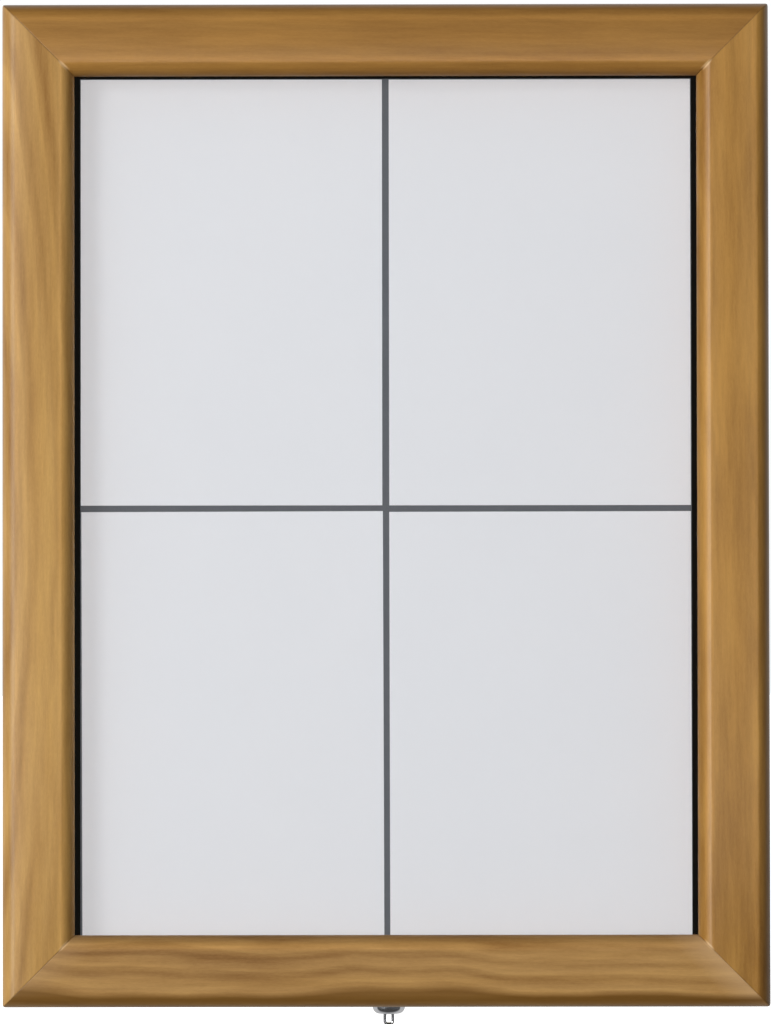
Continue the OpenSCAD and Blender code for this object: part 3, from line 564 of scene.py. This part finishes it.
def turned(name, rings):
    """A turned piece on the lock's axis: a circle drawn out ring by ring, and closed on itself."""
    radius, height = rings[0]
    bpy.ops.mesh.primitive_circle_add(
        vertices=96, radius=radius, location=(LOCK_X, LOCK_Y, CASE_BOTTOM + height)
    )
    piece = bpy.context.object
    piece.name = name
    bpy.ops.object.transform_apply(location=True, rotation=True, scale=True)
    bpy.ops.object.mode_set(mode="EDIT")
    bpy.ops.mesh.select_all(action="SELECT")
    for next_radius, next_height in rings[1:]:
        bpy.ops.mesh.extrude_edges_move(
            TRANSFORM_OT_translate={"value": (0, 0, next_height - height)}
        )
        share = next_radius / radius
        bpy.ops.transform.resize(
            value=(share, share, 1), center_override=(LOCK_X, LOCK_Y, CASE_BOTTOM)
        )
        radius, height = next_radius, next_height
    bpy.ops.mesh.select_all(action="DESELECT")
    bpy.ops.mesh.select_mode(type="EDGE")
    bpy.ops.mesh.select_non_manifold()
    bpy.ops.mesh.bridge_edge_loops()
    bpy.ops.mesh.select_all(action="SELECT")
    bpy.ops.mesh.normals_make_consistent(inside=False)
    bpy.ops.object.mode_set(mode="OBJECT")
    bpy.ops.object.shade_smooth_by_angle(angle=math.radians(24))
    return piece


def rounded(centre, radius, start, end, steps):
    """Rings round a corner of a turned piece."""
    return [
        (
            centre[0] + radius * math.cos(math.radians(start + (end - start) * i / steps)),
            centre[1] + radius * math.sin(math.radians(start + (end - start) * i / steps)),
        )
        for i in range(steps + 1)
    ]


HEAD_R, FACE_R, HEAD_H, HEAD_FLAT = 11.25 * MM, 8 * MM, 8.5 * MM, 4 * MM
BARREL_R, BARREL_LEN, BORE_R = 8 * MM, 22 * MM, 5.55 * MM
MOUTH_R, MOUTH_H = 6.55 * MM, 6.5 * MM
dome_sweep = 2 * math.degrees(math.atan((HEAD_R - FACE_R) / (HEAD_H - HEAD_FLAT)))
dome_r = (HEAD_H - HEAD_FLAT) / math.sin(math.radians(dome_sweep))
head = turned("chrome_lock_head", [
    (BORE_R, BARREL_LEN), (BARREL_R, BARREL_LEN), (BARREL_R, 0), (HEAD_R - 0.25 * MM, 0),
    (HEAD_R, -0.25 * MM),
    *rounded((HEAD_R - dome_r, -HEAD_FLAT), dome_r, 0, -dome_sweep, 14),
    (MOUTH_R + 0.2 * MM, -HEAD_H), (MOUTH_R, -HEAD_H + 0.2 * MM), (MOUTH_R, -MOUTH_H),
    (BORE_R, -MOUTH_H),
])
dress(head, chrome, "case", "chrome_plate", "lock_housing")


# Door mouldings
# Four lengths of the same softwood, wider and rounded along both edges. One long, low arc lies
# between and meets each round in a soft ridge. Mitred, glued, stained and lacquered.
DOOR_W, DOOR_H = 529 * MM, 692 * MM
DOOR_BACK, DOOR_T = 31.5 * MM, 24 * MM
FACE_W = 49.5 * MM
EDGE_ROUND, CROWN = 12 * MM, 1 * MM
RIDGE_SLOPE = math.radians(17)
RIDGE_U = EDGE_ROUND * (1 - math.sin(RIDGE_SLOPE))
RIDGE_DEPTH = DOOR_BACK + DOOR_T - CROWN
ROUND_CENTRE = RIDGE_DEPTH - EDGE_ROUND * math.cos(RIDGE_SLOPE)
CROWN_SLOPE = 2 * math.atan(2 * CROWN / (FACE_W - 2 * RIDGE_U))
CROWN_R = (FACE_W - 2 * RIDGE_U) / (2 * math.sin(CROWN_SLOPE))
REBATE_W, REBATE_FLOOR = 10 * MM, DOOR_BACK + 10 * MM

# The mouldings' colours differ as separate lengths of timber do, and partly as painted light: the
# left stile is made lighter than the right one, as if it were lit more.
door_grain = {
    BOTTOM: {
        "pale": paint(185, 143, 85), "deep": paint(126, 84, 38), "pith": (0.1, -0.01, -0.40),
        "ring": 10 * MM, "contrast": 0.68, "sway": 0.007, "clouds": 0.16, "drift": (0.5, 0.4),
        "edge_shade": (0.0, 0.3), "foot": 9 * MM, "ends": 0.5,
    },
    RIGHT: {
        "pale": paint(175, 129, 63), "deep": paint(118, 76, 27), "pith": (0.36, -0.03, 0.05),
        "ring": 14 * MM, "contrast": 0.42, "sway": 0.006, "clouds": 0.3, "drift": (-0.6, 0.5),
    },
    TOP: {
        "pale": paint(162, 117, 56), "deep": paint(112, 72, 26), "pith": (-0.2, -0.02, 0.46),
        "ring": 14 * MM, "contrast": 0.35, "sway": 0.006, "clouds": 0.16, "drift": (0.5, -0.5),
        "highlight_inset": 10.5 * MM,
    },
    LEFT: {
        "pale": paint(197, 153, 87), "deep": paint(140, 96, 42), "pith": (-0.185, -0.02, -0.005),
        "ring": 12 * MM, "contrast": 0.72, "bow": 0.26, "sway": 0.003, "clouds": 0.1,
        "edge_shade": (0.0, 0.0),
    },
}
door_timber = [
    stained_pine("door_timber_" + SIDE_NAMES[side], side, (DOOR_W, DOOR_H), 0,
                 face=FACE_W, **door_grain[side])
    for side in (BOTTOM, RIGHT, TOP, LEFT)
]
for side in (BOTTOM, RIGHT, TOP, LEFT):
    length = DOOR_H if side % 2 else DOOR_W
    start = -length / 2 - OVERRUN
    bar = start_section(FACE_W, DOOR_BACK, ROUND_CENTRE, start)
    choose("EDGE", lambda edge, c: at(-c.y, ROUND_CENTRE))
    bpy.ops.mesh.delete(type="EDGE_FACE")
    choose("VERT", lambda part, c: at(-c.y, ROUND_CENTRE) and at(c.z, 0))
    for u, depth, turn, steps in (
        (EDGE_ROUND, ROUND_CENTRE, math.pi / 2 - RIDGE_SLOPE, 16),
        (FACE_W / 2, DOOR_BACK + DOOR_T - CROWN_R, 2 * CROWN_SLOPE, 16),
        (FACE_W - EDGE_ROUND, ROUND_CENTRE, math.pi / 2 - RIDGE_SLOPE, 16),
    ):
        bpy.ops.mesh.spin(steps=steps, angle=turn, axis=(1, 0, 0), center=(start, -depth, u))
    bpy.ops.mesh.select_all(action="SELECT")
    bpy.ops.mesh.remove_doubles(threshold=0.002 * MM)
    bpy.ops.mesh.edge_face_add()
    ease_corner(RIDGE_U, RIDGE_DEPTH, 0.5 * MM, 3)
    ease_corner(FACE_W - RIDGE_U, RIDGE_DEPTH, 0.5 * MM, 3)
    cut((0, 0, FACE_W - REBATE_W), (0, 0, 1), False)
    cut((0, -REBATE_FLOOR, 0), (0, 1, 0), False)
    choose("FACE", lambda face, c: c.z > FACE_W - REBATE_W and -c.y < REBATE_FLOOR)
    bpy.ops.mesh.delete(type="FACE")
    ease_corner(0, DOOR_BACK, 1 * MM, 4)
    ease_corner(FACE_W, REBATE_FLOOR, 0.6 * MM, 3)
    finish_bar(bar, length, 3 * MM, side, DOOR_W, DOOR_H, 0, 0.16 * MM)
    bar.name = "timber_door_" + SIDE_NAMES[side]
    dress(bar, door_timber[side], "door", "door_timber", "door_" + SIDE_NAMES[side])


# Glazing
# A clear 3 mm pane, bedded on thin black foam tape in the mouldings' rebate. Four pine beads,
# pinned with small brass pins, hold it from behind.
PANE_W, PANE_H = 444 * MM, 607 * MM
PANE_FRONT = 40.5 * MM
TAPE_W, TAPE_ROUND = 6 * MM, 0.3 * MM

foam_tape, tree, skin = new_finish("foam_tape", specular_ior_level=0.2)
place = add(tree, "TexCoord", {}).outputs["Object"]
cells = add(tree, "TexVoronoi", {"Vector": place, "Scale": 2600}).outputs["Distance"]
colour = blend_colours(tree, cells, paint(18, 18, 19), paint(34, 34, 35))
link_surface(tree, skin, colour, between(tree, cells, 0, 0.6, 0.8, 0.95))

lay_strips(
    "foam_tape_", foam_tape, "door", "glazing_tape", "glazing_tape_",
    (PANE_W, PANE_H), 0, TAPE_W, PANE_FRONT, REBATE_FLOOR,
    [(TAPE_W, REBATE_FLOOR, TAPE_ROUND, 3), (TAPE_W, PANE_FRONT, TAPE_ROUND, 3)]
)

clear = bpy.data.materials.new("clear_acrylic")
clear.use_nodes = True
tree = clear.node_tree
tree.nodes.clear()
place = add(tree, "TexCoord", {}).outputs["Object"]
smear = noise(tree, place, 18, 4)
glass = add(tree, "BsdfPrincipled", {
    "Base Color": (0.992, 0.996, 0.998, 1), "Transmission Weight": 1.0, "IOR": 1.49,
    "Roughness": between(tree, smear, 0.4, 0.8, 0.0, 0.02),
})
through = add(tree, "BsdfTransparent", {"Color": (0.99, 0.992, 0.995, 1)})
ray = add(tree, "LightPath", {})
lamp_ray = calculate(tree, "MAXIMUM", ray.outputs["Is Shadow Ray"], ray.outputs["Is Diffuse Ray"])
both = add(tree, "MixShader", {0: lamp_ray, 1: glass.outputs[0], 2: through.outputs[0]})
add(tree, "OutputMaterial", {0: both.outputs[0]})
refinish(clear, "glazing_pane")

for side, pith, drift in (
    (BOTTOM, (0.3, 0.03, -0.33), (0.6, 0.3)),
    (RIGHT, (0.2, 0.03, 0.25), (-0.5, 0.4)),
    (TOP, (-0.2, 0.03, 0.33), (0.4, -0.3)),
    (LEFT, (-0.25, 0.03, -0.1), (0.7, 0.2)),
):
    bead_timber = stained_pine(
        "bead_timber_" + SIDE_NAMES[side], side, (DOOR_W - 79 * MM, DOOR_H - 79 * MM), 0,
        pale=paint(180, 136, 80), deep=paint(136, 92, 46), pith=pith, ring=4 * MM, contrast=0.5,
        drift=drift
    )
    refinish(bead_timber, "glazing_bead_" + PLACES[side])
refinish(brass, "bead_pins")


# Door fittings
# Flat zinc-plated steel plates screwed across the mitres from behind, and the keeper, a bent
# plate that the lock's cam holds.
refinish(
    zinc, "corner_plate_bottom_left", "corner_plate_bottom_right", "corner_plate_top_right",
    "corner_plate_top_left", "corner_plate_screws", "lock_keeper", "keeper_screws"
)


# Key
# A flat steel blade with cut steps in the plug, and a small bow of chromed wire below it, bent
# from one length.
WIRE_R = 1.05 * MM
BOW_HALF, BOW_BEND = 3.8 * MM - WIRE_R, 1.9 * MM
BOW_TOP, BOW_BASE = CASE_BOTTOM - 8.6 * MM, CASE_BOTTOM - 16.9 * MM + WIRE_R

bpy.ops.mesh.primitive_circle_add(
    vertices=24, radius=WIRE_R, location=(LOCK_X - BOW_HALF, LOCK_Y, BOW_TOP)
)
bow = bpy.context.object
bow.name = "key_bow"
bpy.ops.object.transform_apply(location=True, rotation=True, scale=True)
bpy.ops.object.mode_set(mode="EDIT")
bpy.ops.mesh.select_all(action="SELECT")
bend_z = BOW_BASE + BOW_BEND
bpy.ops.mesh.extrude_edges_move(TRANSFORM_OT_translate={"value": (0, 0, bend_z - BOW_TOP)})
bpy.ops.mesh.spin(
    steps=10, angle=math.pi / 2, axis=(0, 1, 0),
    center=(LOCK_X - BOW_HALF + BOW_BEND, LOCK_Y, bend_z)
)
bpy.ops.mesh.extrude_edges_move(
    TRANSFORM_OT_translate={"value": (2 * (BOW_HALF - BOW_BEND), 0, 0)}
)
bpy.ops.mesh.spin(
    steps=10, angle=math.pi / 2, axis=(0, 1, 0),
    center=(LOCK_X + BOW_HALF - BOW_BEND, LOCK_Y, bend_z)
)
bpy.ops.mesh.extrude_edges_move(TRANSFORM_OT_translate={"value": (0, 0, BOW_TOP - bend_z)})
bpy.ops.mesh.select_all(action="SELECT")
bpy.ops.mesh.remove_doubles(threshold=0.001 * MM)
bpy.ops.mesh.fill_holes(sides=0)
bpy.ops.mesh.select_all(action="SELECT")
bpy.ops.mesh.normals_make_consistent(inside=False)
bpy.ops.object.mode_set(mode="OBJECT")
bpy.ops.object.shade_smooth_by_angle(angle=math.radians(40))

BLADE_W, BLADE_T, BLADE_LEN = 6.6 * MM, 2 * MM, 16.5 * MM
COLLAR_W, COLLAR_H = 7.6 * MM, 1 * MM
blade_z = CASE_BOTTOM - 8.25 * MM
bpy.ops.mesh.primitive_plane_add(size=1)
blade = bpy.context.object
blade.scale = (BLADE_W, BLADE_LEN, 1)
blade.rotation_euler = (math.pi / 2, 0, 0)
blade.location = (LOCK_X, LOCK_Y + BLADE_T / 2, blade_z + BLADE_LEN / 2)
bpy.ops.object.transform_apply(location=True, rotation=True, scale=True)
bpy.ops.object.mode_set(mode="EDIT")
for height, notch in ((4.5, 0.9), (6.6, 1.5), (8.7, 0.6), (10.8, 1.2), (12.9, 0.8)):
    z = blade_z + height * MM
    for level in (-0.9, -0.35, 0.35, 0.9):
        cut((0, 0, z + level * MM), (0, 0, 1), False)
    choose("VERT", lambda part, c: c.x > LOCK_X and abs(c.z - z) < 0.5 * MM)
    bpy.ops.transform.translate(value=(-notch * MM, 0, 0))
choose("VERT", lambda part, c: c.z > blade_z + BLADE_LEN - 0.01 * MM)
bpy.ops.mesh.bevel(offset=1.6 * MM, segments=3, affect="VERTICES")
bpy.ops.mesh.select_all(action="SELECT")
bpy.ops.mesh.dissolve_faces()
bpy.ops.mesh.extrude_region_move(TRANSFORM_OT_translate={"value": (0, -BLADE_T, 0)})
bpy.ops.mesh.select_all(action="SELECT")
bpy.ops.mesh.normals_make_consistent(inside=False)
bpy.ops.object.mode_set(mode="OBJECT")

bpy.ops.mesh.primitive_cube_add(size=1)
collar = bpy.context.object
collar.scale = (COLLAR_W, 2 * WIRE_R, COLLAR_H)
collar.location = (LOCK_X, LOCK_Y, blade_z - COLLAR_H / 2)
bpy.ops.object.transform_apply(location=True, rotation=True, scale=True)

for part in (blade, collar):
    bevel = part.modifiers.new("arris", "BEVEL")
    bevel.width, bevel.segments, bevel.limit_method = 0.15 * MM, 2, "ANGLE"
    bpy.context.view_layer.objects.active = part
    bpy.ops.object.modifier_apply(modifier="arris")
    part.select_set(True)
bow.select_set(True)
bpy.context.view_layer.objects.active = bow
bpy.ops.object.join()
bpy.ops.object.shade_smooth_by_angle(angle=math.radians(35))
bow.name = "chrome_key"
dress(bow, chrome, "key", "chrome_plate", "key")


# Studio
# The camera stands where the photograph was taken from, square to the case and 3.5 m away. A pale
# floor, a white surround and two lamps at the left: a huge far one that throws no shadow, and a
# small one. Two narrow strips in the surround draw the lacquer's highlights.
FOCAL_PIXELS, PHOTO_PIXELS, SENSOR = 5010, 1024, 36
CAMERA_AT = (0.01348, -3.5, -0.0633)
PAN, TILT, ROLL = 0.00395, 0.01688, -0.00151
camera_data = bpy.data.cameras.new("camera")
camera_data.sensor_width = SENSOR
camera_data.lens = FOCAL_PIXELS / PHOTO_PIXELS * SENSOR
camera_data.clip_end = 100
camera = bpy.data.objects.new("camera", camera_data)
bpy.context.scene.collection.objects.link(camera)
camera.matrix_world = (
    Matrix.Translation(CAMERA_AT)
    @ Matrix.Rotation(PAN, 4, "Z")
    @ Matrix.Rotation(math.pi / 2 + TILT, 4, "X")
    @ Matrix.Rotation(ROLL, 4, "Z")
)
bpy.context.scene.camera = camera
bpy.context.scene.view_settings.view_transform = "Standard"


def lamp(name, place, size, strength, shadow=True):
    """A soft box that faces the case."""
    data = bpy.data.lights.new(name, "AREA")
    data.shape = "RECTANGLE"
    data.size, data.size_y = size
    data.energy = strength
    data.use_shadow = shadow
    made = bpy.data.objects.new(name, data)
    bpy.context.scene.collection.objects.link(made)
    made.location = place
    made.rotation_euler = Vector(place).to_track_quat("Z", "Y").to_euler()


lamp("lamp_key", (-7.0, -7.8, -0.6), (7.2, 7.8), 960, shadow=False)
lamp("lamp_front", (-2.7, -5.6, 0.6), (1.6, 2.4), 47)

world = bpy.data.worlds.new("surround")
bpy.context.scene.world = world
world.use_nodes = True
sky = world.node_tree
sky.nodes.clear()

# The camera sees the surround white, and so does what looks through the pane at the back. Lacquer
# and chrome mirror it white behind and at the far left, and dark ahead but for the two strips.
ray = add(sky, "LightPath", {})
toward = add(sky, "SeparateXYZ", {0: add(sky, "TexCoord", {}).outputs["Generated"]}).outputs
behind = between(sky, toward[1], 0.0, 0.3)
behind.node.interpolation_type = "SMOOTHSTEP"
seen = calculate(sky, "MAXIMUM", ray.outputs["Is Camera Ray"],
                 calculate(sky, "MULTIPLY", ray.outputs["Is Transmission Ray"], behind))
at_left = between(sky, toward[0], -0.85, -0.97)
at_left.node.interpolation_type = "SMOOTHSTEP"
mirrored = between(sky, calculate(sky, "MAXIMUM", behind, at_left), 0, 1, 0.04, 1.0)
ahead = between(sky, toward[1], -0.8, -0.9)
LOW_STRIP_Z, UPRIGHT_STRIP_X = -0.12, 0.28
from_low = calculate(sky, "ABSOLUTE", calculate(sky, "SUBTRACT", toward[2], LOW_STRIP_Z))
low = calculate(sky, "MULTIPLY", between(sky, from_low, 0.03, 0.05, 9, 0), ahead)
aside = calculate(sky, "ABSOLUTE", calculate(sky, "SUBTRACT", toward[0], UPRIGHT_STRIP_X))
upright = calculate(sky, "MULTIPLY", between(sky, aside, 0.03, 0.06, 4, 0), ahead)
mirrored = calculate(sky, "ADD", mirrored, calculate(sky, "MAXIMUM", low, upright))
bounced = calculate(sky, "MAXIMUM", ray.outputs["Is Glossy Ray"],
                    ray.outputs["Is Transmission Ray"])
ambient = between(sky, behind, 0, 1, 0.22, 0.85)
level = add(sky, "Mix", {0: bounced, 2: ambient, 3: mirrored}).outputs[0]
level = add(sky, "Mix", {0: seen, 2: level, 3: 1.0}).outputs[0]
light = add(sky, "Background", {"Color": (1, 1, 1, 1), "Strength": level})
add(sky, "OutputWorld", {0: light.outputs[0]})

# The floor is pale to the camera, and dim to the light that it would throw up at the case. From
# below it is open.
FLOOR_SIZE, FLOOR_Y, FLOOR_Z = 16, 6.6, -0.42
bpy.ops.mesh.primitive_plane_add(size=FLOOR_SIZE, location=(0, FLOOR_Y, FLOOR_Z))
floor = bpy.context.object
floor.name = "floor"
pale_floor = bpy.data.materials.new("pale_floor")
pale_floor.use_nodes = True
tree = pale_floor.node_tree
tree.nodes.clear()
ray = add(tree, "LightPath", {})
seen = calculate(tree, "MAXIMUM", ray.outputs["Is Camera Ray"], ray.outputs["Is Transmission Ray"])
spot = add(tree, "SeparateXYZ", {0: add(tree, "NewGeometry", {}).outputs["Position"]}).outputs
mirrored = calculate(tree, "MULTIPLY", ray.outputs["Is Glossy Ray"],
                     between(tree, spot[1], -0.04, 0.0, 0.0, 0.4))
seen = calculate(tree, "MAXIMUM", seen, mirrored)
lit = add(tree, "BsdfDiffuse", {"Color": (0.85, 0.85, 0.85, 1)})
glow = add(tree, "Emission", {"Color": (1, 1, 1, 1), "Strength": 0.87})
pale = add(tree, "AddShader", {0: lit.outputs[0], 1: glow.outputs[0]})
dim = add(tree, "BsdfDiffuse", {"Color": (0.2, 0.2, 0.2, 1)})
upper = add(tree, "MixShader", {0: seen, 1: dim.outputs[0], 2: pale.outputs[0]})
under = add(tree, "NewGeometry", {}).outputs["Backfacing"]
open_below = add(tree, "BsdfTransparent", {})
both = add(tree, "MixShader", {0: under, 1: upper.outputs[0], 2: open_below.outputs[0]})
add(tree, "OutputMaterial", {0: both.outputs[0]})
floor.data.materials.append(pale_floor)
bpy.ops.object.select_all(action="DESELECT")
